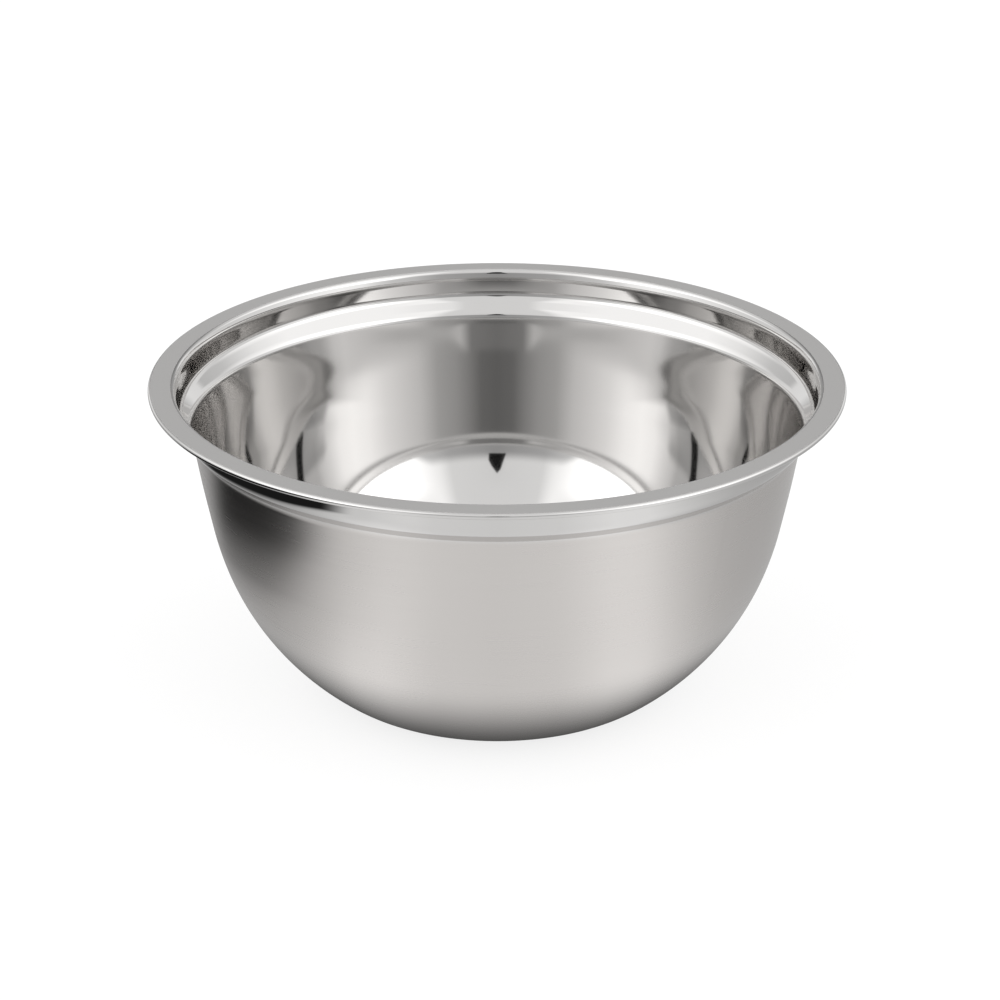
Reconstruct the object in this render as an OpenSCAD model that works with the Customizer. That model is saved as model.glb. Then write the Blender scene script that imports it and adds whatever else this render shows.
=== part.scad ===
// Deep mixing bowl, drawn from one round blank of stainless steel sheet.
// The bowl is a body of revolution about Z. It stands on its foot ring at z = 0.
// Its section is the centreline of the sheet, walked from the middle of the base
// out to the raw edge inside the rolled bead, and thickened to the sheet's gauge.

/* [Overall] */
// Diameter across the rolled edge
rim_d = 240; // [225:1:260]
// Height from the foot ring to the top of the flange
height = 114; // [104:1:126]
// Gauge of the sheet
sheet = 0.6; // [0.4:0.05:0.8]

/* [Rim] */
// Width of the rim, from the rolled edge in to the upright shoulder
rim_w = 9.6; // [7.4:0.2:14]
// Diameter of the bead that the edge is rolled into
bead_d = 2; // [1.8:0.1:3]
// How far the sheet turns as it is rolled into the bead, in degrees
bead_turn = 270; // [200:5:280]
// Radius under the flange where it turns down into the shoulder
flange_bend = 0.9; // [0.6:0.1:3]

/* [Shoulder and ledge] */
// Depth from the top of the flange to the corner where the ledge begins
shoulder_depth = 10.6; // [9:0.1:14]
// Outside radius of the soft flare at the top of the shoulder
flare_bend = 8.7; // [6:0.1:10]
// How far the flare leans out before the flange's own bend takes over, in degrees
flare_turn = 22; // [14:1:25]
// Height that the sloping ledge drops
ledge_drop = 5; // [4.4:0.1:6]
// Width of the sloping ledge, seen from above
ledge_w = 4.9; // [4.4:0.1:7]
// Inside radius in the corner between the shoulder and the ledge
seat_bend = 5; // [1:0.1:6]
// Radius under the ledge where it turns down into the wall
ledge_bend = 5.4; // [1:0.1:6]

/* [Wall] */
// Lean of the straight upper wall from the upright, in degrees
wall_lean = 10.3; // [7:0.1:13]
// Length of the straight upper wall, along its slope
wall_straight = 33.5; // [25:0.5:40]
// Outside radius of the turn from the wall into the base
knuckle_r = 28; // [16:1:34]

/* [Base] */
// How far the rolled edge reaches out beyond the flat foot ring
rim_reach = 72; // [67:1:77]
// Width of the flat foot ring
foot_w = 4; // [2:0.5:8]
// Height that the middle of the base is pressed up inside the foot ring
panel_rise = 0.8; // [0.3:0.1:1.5]
// Inside radius of the bends at the edge of the pressed-up middle
panel_bend = 4; // [2:0.5:8]

/* [Smoothness] */
// Largest gap between a curve of the section and its chords
chord_gap = 0.01; // [0.005:0.005:0.04]
// Number of facets that a preview draws round the bowl
round_facets = 180; // [90:10:240]

/* [Hidden] */

// Half the gauge: the distance from the centreline to either face of the sheet
half = sheet / 2;
upright = 90;

// Bend radii on the centreline
bead_c = (bead_d - sheet) / 2;
flange_c = flange_bend + half;
flare_c = flare_bend + half;
seat_c = seat_bend + half;
ledge_c = ledge_bend + half;
knuckle_c = knuckle_r - half;
panel_c = panel_bend + half;

// Corners of the centreline before they are bent, as [radius, height]
shoulder_r = rim_d / 2 - rim_w + half;
seat_corner = [shoulder_r, height - shoulder_depth];
wall_corner = seat_corner - [ledge_w, ledge_drop];
ledge_span = seat_corner - wall_corner;
ledge_angle = atan2(ledge_span.y, ledge_span.x);
wall_angle = upright - wall_lean;

// What each bend takes off the straight runs on either side of it
function setback(bend_radius, turn) = bend_radius * tan(abs(turn) / 2);
seat_setback = setback(seat_c, upright - ledge_angle);
wall_setback = setback(ledge_c, wall_angle - ledge_angle);

// Lengths of the straight runs
flare_rise = flare_c * sin(flare_turn) + flange_c * (1 - sin(flare_turn));
flare_reach = flare_c * (1 - cos(flare_turn)) + flange_c * cos(flare_turn);
flange_run = rim_w - half - bead_d / 2 - flare_reach;
shoulder_run = shoulder_depth - half - flare_rise - seat_setback;
ledge_run = norm(ledge_span) - seat_setback - wall_setback;
foot_r = rim_d / 2 - rim_reach;
panel_turn = acos(1 - panel_rise / (2 * panel_c));
panel_run = foot_r - foot_w - 2 * panel_c * sin(panel_turn);

// The lower wall is one arc from the foot of the straight wall to the knuckle.
// Its radius follows from where both are: it touches each of them smoothly.
wall_up = [cos(wall_angle), sin(wall_angle)];
wall_inward = [-sin(wall_angle), cos(wall_angle)];
wall_foot = wall_corner - (wall_setback + wall_straight) * wall_up;
knuckle_centre = [foot_r, half + knuckle_c];
to_knuckle = knuckle_centre - wall_foot;
wall_arc_c = (to_knuckle * to_knuckle - knuckle_c * knuckle_c)
    / (2 * (to_knuckle * wall_inward - knuckle_c));
wall_arc_centre = wall_foot + wall_arc_c * wall_inward;
touch = knuckle_centre - wall_arc_centre;
knuckle_turn = atan2(touch.x, -touch.y);

// The walk along the centreline, out from the axis. Each row is a straight run,
// then the radius and the turn of the bend after it. A turn to the left, which is
// up and in towards the axis, is positive.
WALK = [
    [panel_run, panel_c, -panel_turn],                       // middle of the base
    [0, panel_c, panel_turn],                                // down to the foot ring
    [foot_w, knuckle_c, knuckle_turn],                       // foot ring and knuckle
    [0, wall_arc_c, wall_angle - knuckle_turn],              // lower wall
    [wall_straight, ledge_c, ledge_angle - wall_angle],      // upper wall
    [ledge_run, seat_c, upright - ledge_angle],              // ledge
    [shoulder_run, flare_c, -flare_turn],                    // shoulder and flare
    [0, flange_c, flare_turn - upright],                     // over into the flange
    [flange_run, bead_c, -upright],                          // flange and edge
    [0, bead_c, upright - bead_turn],                        // bead, rolled under
];
walk_start = [0, panel_rise + half];

function along(heading) = [cos(heading), sin(heading)];
function to_right(heading) = [sin(heading), -cos(heading)];
function chords(bend_radius, turn) =
    ceil(abs(turn) / (2 * acos(1 - chord_gap / (bend_radius + half))));

// Points of the walk, as [point, heading], from row i on
function walk(i, at, heading) =
    i == len(WALK) ? [] :
    let (
        run = WALK[i][0],
        bend_radius = WALK[i][1],
        turn = WALK[i][2],
        bend_at = at + run * along(heading),
        reach = sign(turn) * bend_radius,
        centre = bend_at - reach * to_right(heading),
        n = chords(bend_radius, turn),
        bend = [for (k = [run > 0 ? 0 : 1 : n])
            let (now = heading + turn * k / n)
            [centre + reach * to_right(now), now]]
    )
    concat(bend, walk(i + 1, bend[len(bend) - 1][0], heading + turn));

CENTRELINE = concat([[walk_start, 0]], walk(0, walk_start, 0));

// One face of the sheet: side is 1 for the outside and -1 for the inside
function face(side) = [for (p = CENTRELINE) p[0] + side * half * to_right(p[1])];
function reversed(list) = [for (i = [len(list) - 1 : -1 : 0]) list[i]];

module sheet_section() {
    polygon(concat(face(1), reversed(face(-1))));
}

module bowl_shell() {
    color("silver")
        rotate_extrude($fn = round_facets)
            sheet_section();
}

bowl_shell();
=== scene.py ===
import math

import bpy
import numpy as np
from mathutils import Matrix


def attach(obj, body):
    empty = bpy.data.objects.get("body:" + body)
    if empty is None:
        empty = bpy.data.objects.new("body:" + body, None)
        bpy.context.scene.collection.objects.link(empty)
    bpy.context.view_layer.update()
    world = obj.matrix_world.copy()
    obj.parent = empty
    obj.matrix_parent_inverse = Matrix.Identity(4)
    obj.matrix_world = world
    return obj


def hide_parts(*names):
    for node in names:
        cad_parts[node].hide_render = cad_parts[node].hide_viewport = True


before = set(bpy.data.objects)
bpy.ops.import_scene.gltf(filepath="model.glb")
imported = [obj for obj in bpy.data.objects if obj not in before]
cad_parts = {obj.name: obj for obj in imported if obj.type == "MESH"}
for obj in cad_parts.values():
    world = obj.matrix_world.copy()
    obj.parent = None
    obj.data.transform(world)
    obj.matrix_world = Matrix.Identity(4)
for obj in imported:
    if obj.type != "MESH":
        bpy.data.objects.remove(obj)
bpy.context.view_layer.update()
print("frame loaded")


# One socket of a node tree. Sums written with it add Math nodes.
class Wire:
    def __init__(self, tree, socket=None):
        self.tree = tree
        self.socket = socket

    def node(self, kind, settings, sockets, output=0):
        made = self.tree.nodes.new("ShaderNode" + kind)
        for key, value in settings.items():
            if key == "stops":  # of a colour ramp: place, then grey level
                ramp = made.color_ramp.elements
                while len(ramp) < len(value):
                    ramp.new(1.0)
                for stop, (place, grey) in zip(ramp, value):
                    stop.position = place
                    stop.color = (grey, grey, grey, 1)
            else:
                setattr(made, key, value)
        for key, value in sockets.items():
            if isinstance(value, Wire):
                self.tree.links.new(value.socket, made.inputs[key])
            else:
                made.inputs[key].default_value = value
        return None if output is None else Wire(self.tree, made.outputs[output])

    def maths(self, operation, *terms):
        return self.node("Math", {"operation": operation}, dict(enumerate(terms)))

    def parts(self, vector):
        return [self.node("SeparateXYZ", {}, {0: vector}, part) for part in "XYZ"]

    # 3 t^2 - 2 t^3 of the value's share of the span, from low to high
    def ramp(self, value, span, low=0.0, high=1.0):
        return self.node("MapRange", {"interpolation_type": "SMOOTHSTEP"}, {
            "Value": value, "From Min": span[0], "From Max": span[1],
            "To Min": low, "To Max": high})

    def grey(self, value, stops):
        return self.node("ValToRGB", {"stops": stops}, {"Fac": value}, "Color")

    def __add__(self, other):
        return self.maths("ADD", self, other)

    def __sub__(self, other):
        return self.maths("SUBTRACT", self, other)

    def __rsub__(self, other):
        return self.maths("SUBTRACT", other, self)

    def __mul__(self, other):
        return self.maths("MULTIPLY", self, other)

    def __truediv__(self, other):
        return self.maths("DIVIDE", self, other)

    def __rtruediv__(self, other):
        return self.maths("DIVIDE", other, self)

    # a sum or product is the same from either side
    __radd__ = __add__
    __rmul__ = __mul__


def newMaterial(name):
    material = bpy.data.materials.new(name)
    material.use_nodes = True
    material.node_tree.nodes.clear()
    return material, Wire(material.node_tree)


def finishMaterial(material, tree, surface):
    tree.node("OutputMaterial", {}, {"Surface": surface}, None)
    return material


# The camera stands about where the photograph's did. Its place and lens were worked out
# from the outline of the bowl.
cameraSet = {
    "aim": (0.0, 0.0, 0.060),
    "distance": 0.96,
    "elevation": 24.01,
    "lens": 97.75,
    "sensor": 36.0,
    "shiftX": 0.0029,
    "shiftY": 0.0167,
}


def makeCamera(v):
    tilt = math.radians(v["elevation"])
    data = bpy.data.cameras.new("camera")
    data.lens, data.sensor_width = v["lens"], v["sensor"]
    data.shift_x, data.shift_y = v["shiftX"], v["shiftY"]
    camera = bpy.data.objects.new("camera", data)
    x, y, z = v["aim"]
    away = v["distance"]
    camera.location = (x, y - away * math.cos(tilt), z + away * math.sin(tilt))
    camera.rotation_euler = (math.pi / 2 - tilt, 0, 0)
    bpy.context.scene.collection.objects.link(camera)
    bpy.context.scene.camera = camera


makeCamera(cameraSet)
bpy.context.scene.view_settings.view_transform = "Standard"
print("camera placed")


# The bowl's section in metres and degrees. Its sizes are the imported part's, and the
# swell and the steps are the scene's own.
bowlShape = {
    "rimRadius": 0.120,
    "height": 0.114,
    "gauge": 0.0006,
    "rimWidth": 0.0096,
    "beadWidth": 0.002,
    "beadTurn": 270.0,
    "flangeBend": 0.0009,
    "flareBend": 0.0087,
    "flareTurn": 22.0,
    "shoulderDepth": 0.0106,
    "ledgeDrop": 0.005,
    "ledgeWidth": 0.0049,
    "seatBend": 0.005,
    "ledgeBend": 0.0054,
    "wallLean": 10.3,
    "wallStraight": 0.0335,
    "knuckle": 0.028,
    "rimReach": 0.072,
    "footWidth": 0.004,
    "panelRise": 0.0008,
    "panelBend": 0.004,
    # the wall swells out by this much between three heights, which only its reflections
    # show. The size is a guess that brings them near the photographed ones.
    "swell": 0.00025,
    "swellHeights": (0.052, 0.079, 0.0965),
    "slopeStep": 0.00001,  # the swell's slope is taken over this much to each side
    "ringStep": 0.0016,    # largest gap between two rings on a steep straight run
    "steep": 70.0,         # a run is steep from this angle on
    # largest turn between two rings in a bend of at least each radius
    "turnSteps": [(0.05, 0.9), (0.001, 4.0), (0.0, 9.0)],
    "leastSteps": 4,       # in any bend
    "settle": 0.00015,     # a ring this close to each end keeps a flat run flat
    "around": 256,         # points in a ring
    "satinFade": 0.001,    # the satin fades in over this much to each side of the ledge's foot
    "flangeFlat": 0.00003,  # the flange is flat where it is within this much of the top
}


# The runs and bends of the sheet's centreline: the length of a run, then the radius
# and the turn of the bend after it.
def bowlWalk(v):
    half = v["gauge"] / 2
    beadC = (v["beadWidth"] - v["gauge"]) / 2
    flangeC = v["flangeBend"] + half
    flareC = v["flareBend"] + half
    seatC = v["seatBend"] + half
    ledgeC = v["ledgeBend"] + half
    knuckleC = v["knuckle"] - half
    panelC = v["panelBend"] + half
    shoulderR = v["rimRadius"] - v["rimWidth"] + half
    ledgeAngle = math.atan2(v["ledgeDrop"], v["ledgeWidth"])
    wallAngle = math.radians(90 - v["wallLean"])
    upright = math.pi / 2
    seatSet = seatC * math.tan((upright - ledgeAngle) / 2)
    wallSet = ledgeC * math.tan((wallAngle - ledgeAngle) / 2)
    # the lower wall is one arc that touches both the straight wall and the knuckle
    wallTop = np.array([
        shoulderR - v["ledgeWidth"], v["height"] - v["shoulderDepth"] - v["ledgeDrop"]])
    up = np.array([math.cos(wallAngle), math.sin(wallAngle)])
    inward = np.array([-up[1], up[0]])
    wallFoot = wallTop - (wallSet + v["wallStraight"]) * up
    footR = v["rimRadius"] - v["rimReach"]
    knuckleCentre = np.array([footR, half + knuckleC])
    gap = knuckleCentre - wallFoot
    arcC = (gap @ gap - knuckleC ** 2) / (2 * (gap @ inward - knuckleC))
    touch = knuckleCentre - (wallFoot + arcC * inward)
    knuckleTurn = math.atan2(touch[0], -touch[1])
    panelTurn = math.acos(1 - v["panelRise"] / (2 * panelC))
    panelRun = footR - v["footWidth"] - 2 * panelC * math.sin(panelTurn)
    flareTurn = math.radians(v["flareTurn"])
    flareRise = flareC * math.sin(flareTurn) + flangeC * (1 - math.sin(flareTurn))
    flareReach = flareC * (1 - math.cos(flareTurn)) + flangeC * math.cos(flareTurn)
    flangeRun = v["rimWidth"] - half - v["beadWidth"] / 2 - flareReach
    shoulderRun = v["shoulderDepth"] - half - flareRise - seatSet
    ledgeRun = math.hypot(v["ledgeWidth"], v["ledgeDrop"]) - seatSet - wallSet
    return [
        (panelRun, panelC, -panelTurn),
        (0, panelC, panelTurn),
        (v["footWidth"], knuckleC, knuckleTurn),
        (0, arcC, wallAngle - knuckleTurn),
        (v["wallStraight"], ledgeC, ledgeAngle - wallAngle),
        (ledgeRun, seatC, upright - ledgeAngle),
        (shoulderRun, flareC, -flareTurn),
        (0, flangeC, flareTurn - upright),
        (flangeRun, beadC, -upright),
        (0, beadC, upright - math.radians(v["beadTurn"])),
    ]


# Points of the centreline and the heading at each. A point moves along its heading on
# a straight run. On a bend it turns about a centre one bend radius to the side.
def sheetCentreline(v):
    at = np.array([0.0, v["panelRise"] + v["gauge"] / 2])
    heading, steep = 0.0, math.radians(v["steep"])
    points, headings = [at[None]], [np.zeros(1)]
    for run, radius, turn in bowlWalk(v):
        along = np.array([math.cos(heading), math.sin(heading)])
        if run > 0:
            gaps = math.ceil(run / v["ringStep"]) if heading > steep else 1
            steps = np.append(np.linspace(v["settle"], run - v["settle"], gaps + 1), run)
            points.append(at + steps[:, None] * along)
            headings.append(np.full(len(steps), heading))
            at = at + run * along
        step = math.radians(next(turn for least, turn in v["turnSteps"] if radius >= least))
        count = max(v["leastSteps"], math.ceil(abs(turn) / step))
        now = heading + turn * np.arange(1, count + 1) / count
        reach = math.copysign(radius, turn)
        centre = at + reach * np.array([-along[1], along[0]])
        bend = centre + reach * np.stack([np.sin(now), -np.cos(now)], 1)
        points.append(bend)
        headings.append(now)
        at, heading = bend[-1], heading + turn
    return swollen(np.concatenate(points), np.concatenate(headings), v)


# The swell of the wall, added to the radius. It is the product of two smooth steps,
# each 3 t^2 - 2 t^3 of the height, and its slope turns the heading. Only the wall lies
# between its heights.
def swollen(points, heading, v):
    foot, crest, top = v["swellHeights"]

    def smooth(share):
        t = np.clip(share, 0, 1)
        return t ** 2 * (3 - 2 * t)

    def swell(height):
        rise, fall = (height - foot) / (crest - foot), (top - height) / (top - crest)
        return v["swell"] * smooth(rise) * smooth(fall)

    height, step = points[:, 1], v["slopeStep"]
    slope = (swell(height + step) - swell(height - step)) / (2 * step)
    moved = points + np.stack([swell(height), np.zeros(len(height))], 1)
    along, up = np.cos(heading), np.sin(heading)
    return moved, np.arctan2(up, along + slope * up)


# A profile of radius and height carried round the axis, closed at both poles: x is the
# radius times the cosine of the angle, y the radius times its sine, z the height. The
# profile runs up the outside and back down the inside, so that faces point outwards.
# Each mask gives one value for each point of the profile.
def revolved(name, profile, masks, around):
    angle = 2 * np.pi * np.arange(around) / around
    rings = profile[1:-1]
    grid = np.stack([
        rings[:, :1] * np.cos(angle),
        rings[:, :1] * np.sin(angle),
        np.repeat(rings[:, 1:], around, 1)], -1).reshape(-1, 3)
    points = np.concatenate([grid, [[0, 0, profile[0, 1]]], [[0, 0, profile[-1, 1]]]])
    i, j = np.meshgrid(np.arange(len(rings) - 1), np.arange(around), indexing="ij")
    k = (j + 1) % around
    quads = np.stack([i * around + j, i * around + k, (i + 1) * around + k,
                      (i + 1) * around + j], -1).reshape(-1, 4)
    first, second = len(grid), len(grid) + 1
    j = np.arange(around)
    k = (j + 1) % around
    last = (len(rings) - 1) * around
    caps = [np.stack([np.full(around, first), k, j], 1),
            np.stack([np.full(around, second), last + j, last + k], 1)]
    mesh = bpy.data.meshes.new(name)
    mesh.from_pydata(points.tolist(), [], quads.tolist() + np.concatenate(caps).tolist())
    mesh.shade_smooth()
    for maskName, mask in masks.items():
        values = np.concatenate([np.repeat(mask[1:-1], around), [mask[0], mask[-1]]])
        layer = mesh.attributes.new(maskName, "FLOAT", "POINT")
        layer.data.foreach_set("value", values.astype(np.float32))
    mesh.update()
    piece = bpy.data.objects.new(name, mesh)
    bpy.context.scene.collection.objects.link(piece)
    return piece


def makeBowl(v):
    line, heading = sheetCentreline(v)
    right = np.stack([np.sin(heading), -np.cos(heading)], 1)
    outside = line + right * v["gauge"] / 2
    inside = line - right * v["gauge"] / 2
    profile = np.concatenate([outside, inside[::-1]])
    # satin is the outside below the ledge, and the flange's flat top is dull as well
    ledgeFoot = v["height"] - v["shoulderDepth"] - v["ledgeDrop"]
    fade = v["satinFade"]
    wall = np.clip((ledgeFoot + fade - outside[:, 1]) / (2 * fade), 0, 1)
    flange = (inside[::-1, 1] > v["height"] - v["flangeFlat"]).astype(float)
    plain = np.zeros(len(line))
    bowl = revolved("bowlShell", profile, {
        "satin": np.concatenate([wall, plain]),
        "flange": np.concatenate([plain, flange]),
    }, v["around"])
    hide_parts("bowl_shell")
    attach(bowl, "root")
    return bowl


bowl = makeBowl(bowlShape)
print("bowl made,", len(bowl.data.polygons), "faces")


# Finishes: polished inside and over the rim, fine circular satin outside.
steelFinish = {
    "colour": (0.616, 0.608, 0.6, 1),
    "satinColour": (0.63, 0.606, 0.588, 1),
    "polishedRough": 0.05,
    "flangeRough": 0.5,
    "satinRough": 0.26,
    "satinSpread": 0.05,     # the satin's roughness varies by this much
    "brushFineness": 900.0,  # brush marks to the metre
    "brushTurn": 3.0,        # how fast the marks change round the bowl
    "brushNoise": {"Scale": 1.0, "Detail": 3.0, "Roughness": 0.6},
    "cloudNoise": {"Scale": 28.0, "Detail": 3.0, "Roughness": 0.55},
    "brushStrength": 0.35,
    "brushDepth": 0.000003,
}


def makeSteel(v):
    material, tree = newMaterial("drawnSteel")
    satin = tree.node("Attribute", {"attribute_name": "satin"}, {}, "Fac")
    flange = tree.node("Attribute", {"attribute_name": "flange"}, {}, "Fac")
    place = tree.node("TexCoord", {}, {}, "Object")
    x, y, z = tree.parts(place)
    # distance from the axis and height, so that brush marks run round the bowl
    radius = tree.maths("SQRT", x * x + y * y)
    angle = tree.maths("ARCTAN2", y, x)
    across = tree.node("CombineXYZ", {}, {
        "X": radius * v["brushFineness"], "Y": z * v["brushFineness"],
        "Z": angle * v["brushTurn"]})
    lines = tree.node("TexNoise", {}, {"Vector": across, **v["brushNoise"]})
    cloud = tree.node("TexNoise", {}, {"Vector": place, **v["cloudNoise"]})
    rough = v["polishedRough"] + satin * (
        v["satinRough"] - v["polishedRough"] + (lines - 0.5) * v["satinSpread"] * 2
        + (cloud - 0.5) * v["satinSpread"]) + flange * (v["flangeRough"] - v["polishedRough"])
    bump = tree.node("Bump", {}, {
        "Strength": v["brushStrength"], "Distance": v["brushDepth"], "Height": lines * satin})
    # of a Mix node, sockets 6 and 7 are the two colours and output 2 is the mixed one
    colour = tree.node("Mix", {"data_type": "RGBA"}, {
        0: satin, 6: v["colour"], 7: v["satinColour"]}, 2)
    shader = tree.node("BsdfPrincipled", {}, {
        "Base Color": colour, "Metallic": 1.0, "Roughness": rough, "Normal": bump})
    return finishMaterial(material, tree, shader)


bowl.data.materials.append(makeSteel(steelFinish))
print("steel finished")


# The studio: white paper below, and surroundings that are bright at both sides and
# dim behind the bowl. Brightness 1 is white. The levels were matched to what the
# photographed bowl reflects.
floorSet = {
    "size": 14.0,
    "level": -0.00005,     # a hair under the foot ring, so that they don't share a plane
    "colour": (0.80, 0.80, 0.80, 1),
    "whiteness": 0.72,     # share of plain white in what the camera sees of the paper
    "white": 1.12,         # brightness of that plain white
    "mirrored": 0.92,      # brightness of the paper in the metal, far from the bowl
    "footShade": 0.08,     # the same under the overhang of the bowl: a painted shadow of the bowl on the paper, seen only in the metal
    "shadeBack": 0.009,    # the painted shadow is centred this far behind the bowl's middle
    "shadeRadius": (0.064, 0.1075),   # it fades out between these
    # painted shading of the paper as the metal sees it, dimmer at both sides and brighter a little
    # way round from the camera: by the angle from the camera's side over 180
    "sideShading": [(0.0, 0.99), (0.1, 1.03), (0.19, 1.22), (0.25, 1.2), (0.31, 0.99), (0.37, 0.82),
              (0.43, 0.7), (0.5, 0.64), (0.6, 0.6), (0.7, 0.62), (0.8, 0.8), (1.0, 0.95)],
    # a painted dark patch on the paper at the left, seen only in the metal, with a slanted front
    # edge. Each edge is soft between its two values.
    "darkPatchRight": (-0.205, -0.115),
    "darkPatchSlant": 1.55,     # how fast the front edge comes forward to the left
    "darkPatchFront": (0.10, 0.225),
    "darkPatchBack": (0.13, 0.05),
    "darkPatchLevel": 0.015,    # the painted dark patch's brightness
    "darkPatchHalo": 0.2,       # painted shade: the paper is dimmer by this share in front of the dark patch
    "haloFront": (-0.12, 0.09),
    "haloRight": (-0.15, -0.03),
}


# One flat face through the corners, given in turn.
def flatPanel(name, corners):
    mesh = bpy.data.meshes.new(name)
    mesh.from_pydata(corners, [], [list(range(len(corners)))])
    panel = bpy.data.objects.new(name, mesh)
    bpy.context.scene.collection.objects.link(panel)
    return panel


def makeFloor(v):
    reach, level = v["size"] / 2, v["level"]
    floor = flatPanel("floor", [
        (x * reach, y * reach, level) for x, y in ((-1, -1), (1, -1), (1, 1), (-1, 1))])
    material, tree = newMaterial("floorPaper")
    seen = tree.node("LightPath", {}, {}, "Is Camera Ray")
    mirrored = tree.node("LightPath", {}, {}, "Is Glossy Ray")
    place = tree.node("TexCoord", {}, {}, "Object")
    behind = tree.node("VectorMath", {"operation": "SUBTRACT"}, {
        0: place, 1: (0, v["shadeBack"], 0)}, "Vector")
    fromShade = tree.node("VectorMath", {"operation": "LENGTH"}, {0: behind}, "Value")
    x, y = tree.parts(place)[:2]
    # what the metal sees of the paper is painted: a painted shadow under the bowl, painted side
    # shading and a painted dark patch at the left
    shade = tree.ramp(fromShade, v["shadeRadius"], v["footShade"], v["mirrored"])
    around = tree.maths("ABSOLUTE", tree.maths("ARCTAN2", x, 0.0 - y)) / math.pi
    sideShading = tree.grey(around, v["sideShading"])
    slanted = y - x * v["darkPatchSlant"]
    halo = v["darkPatchHalo"] * (1.0 - tree.ramp(x, v["haloRight"]))
    halo = halo * tree.ramp(slanted, v["haloFront"])
    darkShape = (1.0 - tree.ramp(x, v["darkPatchRight"])) * tree.ramp(slanted, v["darkPatchFront"])
    darkShape = darkShape * tree.ramp(y, v["darkPatchBack"])
    # the painted shadow, the painted side shading and the painted dark patch with its shade,
    # together
    shade = shade * sideShading * (1.0 - halo) * (1.0 - darkShape) + darkShape * v["darkPatchLevel"]
    paper = tree.node("BsdfDiffuse", {}, {"Color": v["colour"]})
    white = tree.node("Emission", {}, {"Strength": v["white"]})
    both = tree.node("MixShader", {}, {0: seen * v["whiteness"], 1: paper, 2: white})
    reflected = tree.node("Emission", {}, {"Strength": shade})
    chosen = tree.node("MixShader", {}, {0: mirrored, 1: both, 2: reflected})
    # from below the camera looks through the floor at the bowl's underside
    below = tree.node("NewGeometry", {}, {}, "Backfacing") * seen
    clear = tree.node("BsdfTransparent", {}, {})
    chosen = tree.node("MixShader", {}, {0: below, 1: chosen, 2: clear})
    floor.data.materials.append(finishMaterial(material, tree, chosen))


makeFloor(floorSet)

# The camera and its tripod: a dark shape just behind the camera's place, which shows in
# the metal only.
cameraCard = {
    "back": -0.98,  # its place along Y
    # how far across and how far up each corner is
    "corners": [(-0.072, 0.464), (0.066, 0.464), (0.07, 0.53), (0.045, 0.59),
                (0.0, 0.665), (-0.03, 0.62)],
    "level": 0.012,
}


def makeCameraCard(v):
    darkShape = flatPanel("tripod", [(x, v["back"], z) for x, z in v["corners"]])
    material, tree = newMaterial("tripod")
    glow = tree.node("Emission", {}, {"Strength": v["level"]})
    darkShape.data.materials.append(finishMaterial(material, tree, glow))
    darkShape.visible_camera = darkShape.visible_shadow = darkShape.visible_diffuse = False


makeCameraCard(cameraCard)

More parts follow.
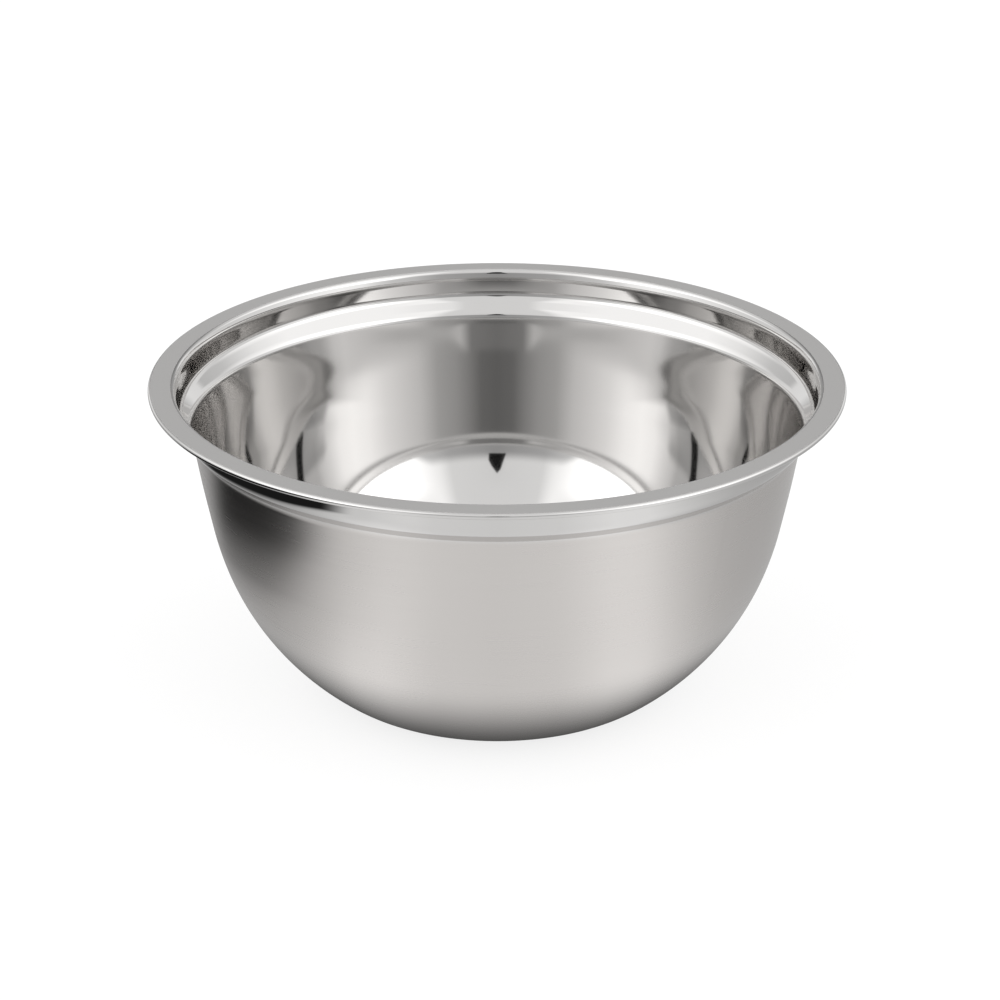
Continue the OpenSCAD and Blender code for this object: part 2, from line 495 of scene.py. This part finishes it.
# What the metal and the paper get their light from, by direction.
surroundings = {
    "seen": 1.0,   # brightness of what the camera itself sees behind the paper
    "scale": 2.4,  # both rings are this much brighter than their stops
    # brightness over scale, by the angle from straight behind the bowl over 180
    "ring": [(0.0, 0.11), (0.07, 0.125), (0.12, 0.20), (0.18, 0.28), (0.26, 0.34),
             (0.34, 0.52), (0.42, 0.62), (0.50, 0.73), (0.59, 0.92), (0.67, 0.99),
             (0.74, 0.92), (0.80, 0.70), (0.85, 0.56), (0.88, 0.43), (1.0, 0.40)],
    # the same low down
    "lowRing": [(0.0, 0.15), (0.11, 0.18), (0.155, 0.45), (0.24, 0.42), (0.33, 0.38), (0.42, 0.41),
                (0.50, 0.47), (0.58, 0.54), (0.67, 0.60), (0.72, 0.55), (0.75, 0.44),
                (0.78, 0.36), (0.83, 0.32), (0.88, 0.23), (1.0, 0.17)],
    "lowTop": (15.0, 18.8),     # in degrees above the table, soft between the two
    "lowTopBack": (3.6, 0.5),   # this much higher straight behind
    "lowTopFront": (5.0, 6.5),  # this much higher on the camera's side
    "behind": (0.12, 0.22),     # where straight behind ends, as in the rings
    "cameraSide": (0.77, 0.84),  # where the camera's side begins
    "overheadFront": 1.0,           # brightness overhead, on the camera's side
    "overheadBack": 0.9,            # the same behind the bowl
    "overheadFade": (-0.15, 0.35),  # from the one to the other, by how far back it is
    # from these degrees up the sides are at least as bright as overhead
    "overheadFrom": (31.0, 40.0),
    "overheadMost": 1.45,           # and no brighter than this
    "sidesUpTo": (60.0, 75.0),      # the sides end between these degrees
}


def makeSurroundings(v):
    world = bpy.data.worlds.new("studio")
    world.use_nodes = True
    world.node_tree.nodes.clear()
    tree = Wire(world.node_tree)
    x, y, z = tree.parts(tree.node("TexCoord", {}, {}, "Generated"))
    height = tree.maths("ARCSINE", z) * (180 / math.pi)
    aside = tree.maths("ABSOLUTE", tree.maths("ARCTAN2", x, y)) / math.pi
    ring = tree.grey(aside, v["ring"]) * v["scale"]
    low = tree.grey(aside, v["lowRing"]) * v["scale"]

    def blend(low, high, span):
        return low + tree.ramp(height, span) * (high - low)

    overhead = tree.ramp(y, v["overheadFade"], v["overheadFront"], v["overheadBack"])
    high = tree.maths("MINIMUM", tree.maths("MAXIMUM", ring, overhead), v["overheadMost"])
    back, front = 1.0 - tree.ramp(aside, v["behind"]), tree.ramp(aside, v["cameraSide"])
    level = blend(low, ring, [
        start + back * higherBack + front * higherFront for start, higherBack, higherFront
        in zip(v["lowTop"], v["lowTopBack"], v["lowTopFront"])])
    level = blend(blend(level, high, v["overheadFrom"]), overhead, v["sidesUpTo"])
    seen = tree.node("LightPath", {}, {}, "Is Camera Ray")
    level = level + seen * (v["seen"] - level)
    light = tree.node("Background", {}, {"Color": (1, 1, 1, 1), "Strength": level})
    tree.node("OutputWorld", {}, {"Surface": light}, None)
    bpy.context.scene.world = world


makeSurroundings(surroundings)
bounces = 24  # light goes round inside a polished bowl many times before it leaves
bpy.context.scene.cycles.max_bounces = bounces
bpy.context.scene.cycles.glossy_bounces = bounces
print("studio lit")
